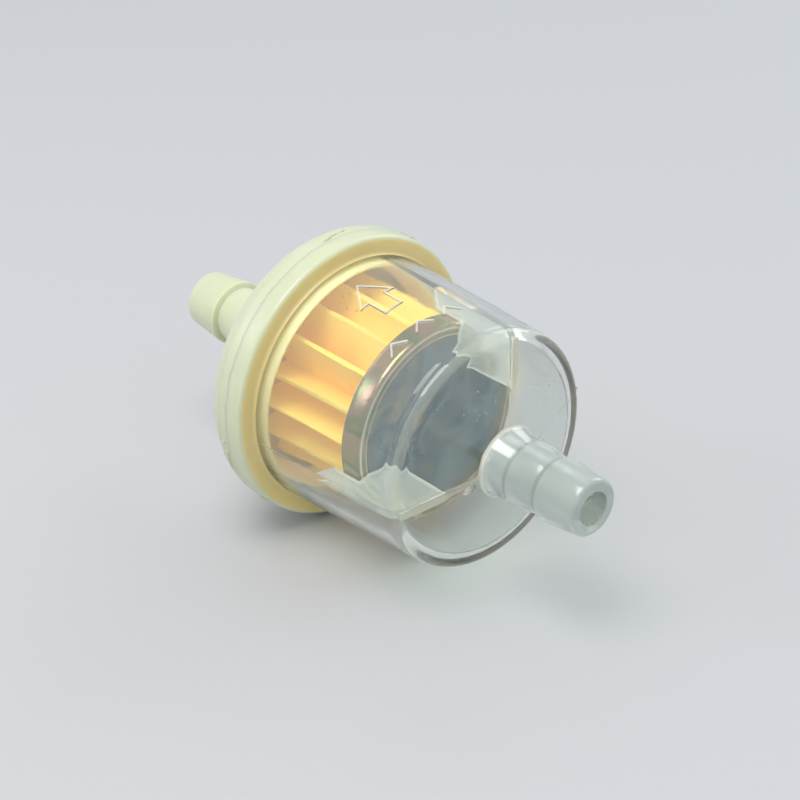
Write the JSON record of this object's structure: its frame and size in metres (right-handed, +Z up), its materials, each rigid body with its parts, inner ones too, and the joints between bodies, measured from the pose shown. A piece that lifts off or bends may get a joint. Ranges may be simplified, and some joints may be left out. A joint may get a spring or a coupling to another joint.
{
  "type": "inline fuel filter",
  "caption": "Small inline fuel filter: clear bowl and milky cap welded round a pleated paper element, with a hose barb at each end.",
  "frame": {"origin": "on the flow axis, midway between the two barb tips", "axes": "+X along the flow axis towards the bowl's inlet barb, +Z up, fuel flows towards -X"},
  "size_m": [0.0602, 0.0324, 0.0324],
  "materials": {
    "clear_plastic": "clear, slightly hazy moulded nylon",
    "milky_plastic": "translucent, milky moulded nylon",
    "filter_paper": "resin-treated pleated paper",
    "seam_glue": "cured glue",
    "plated_steel": "zinc plated with an iridescent yellow passivation",
    "potting": "cured potting compound"
  },
  "bodies": {
    "root": {"bowl": "clear_plastic", "cap": "milky_plastic", "weld_flash": "milky_plastic", "filter_paper": "filter_paper", "paper_seam": "seam_glue", "end_cup": "plated_steel", "cup_potting": "potting", "outlet_potting": "potting"}
  },
  "joints": []
}
